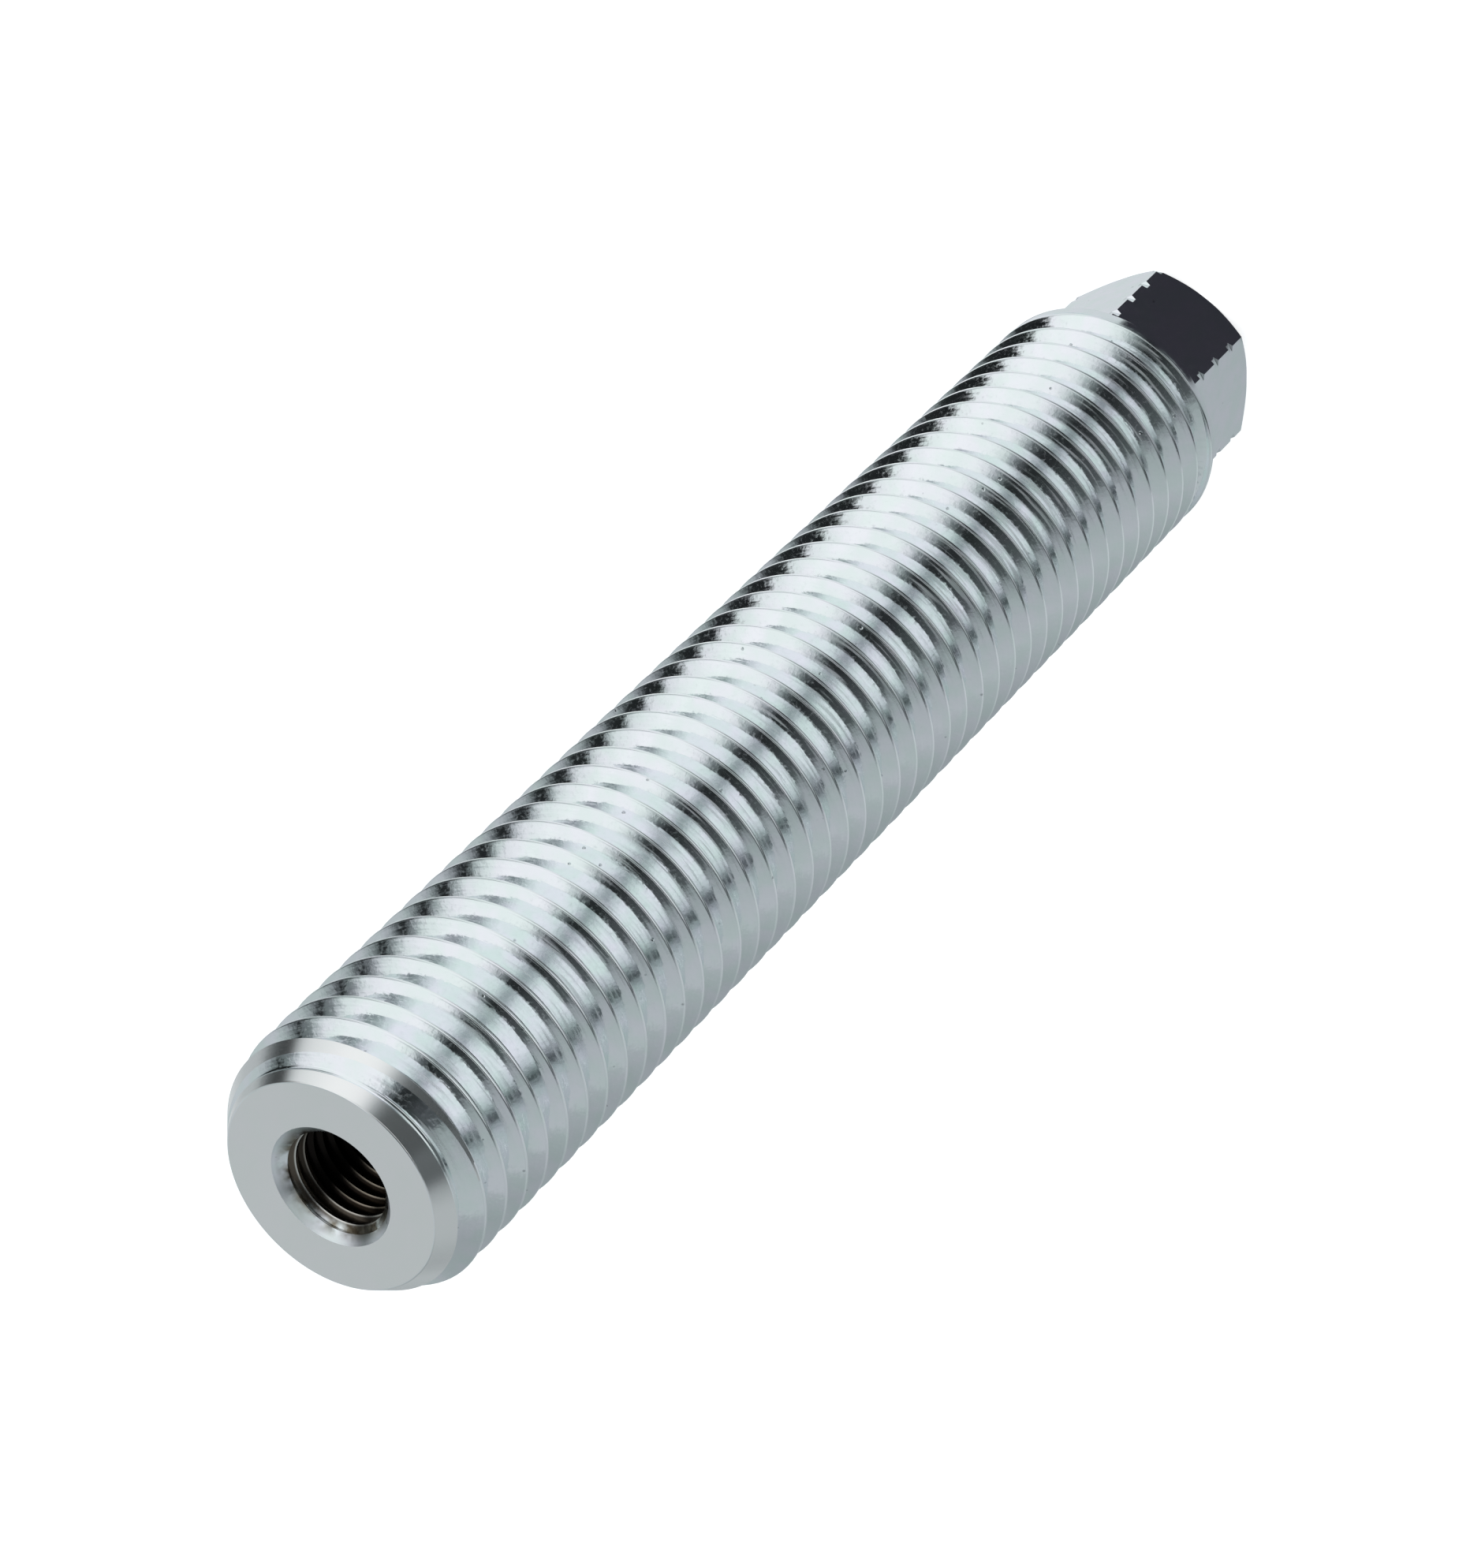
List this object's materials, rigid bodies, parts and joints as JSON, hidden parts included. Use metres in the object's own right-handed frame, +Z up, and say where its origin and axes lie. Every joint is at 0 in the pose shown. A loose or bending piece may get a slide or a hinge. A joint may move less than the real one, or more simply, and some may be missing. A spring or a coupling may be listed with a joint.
{
  "type": "jack bolt",
  "caption": "Jack bolt threaded from end to end, with a hexagon for a spanner at one end and a tapped hole in the other, in bright zinc-plated steel.",
  "frame": {"origin": "centre of the hexagon's end face, on the bolt's axis", "axes": "+Z up the bolt's axis, from the hexagon to the tapped hole; +X through a corner of the hexagon"},
  "size_m": [0.0236, 0.0236, 0.1434],
  "materials": {
    "zinc_plated_steel": "bright zinc plating over turned steel"
  },
  "bodies": {
    "root": {"jack_bolt": "zinc_plated_steel"}
  },
  "joints": []
}
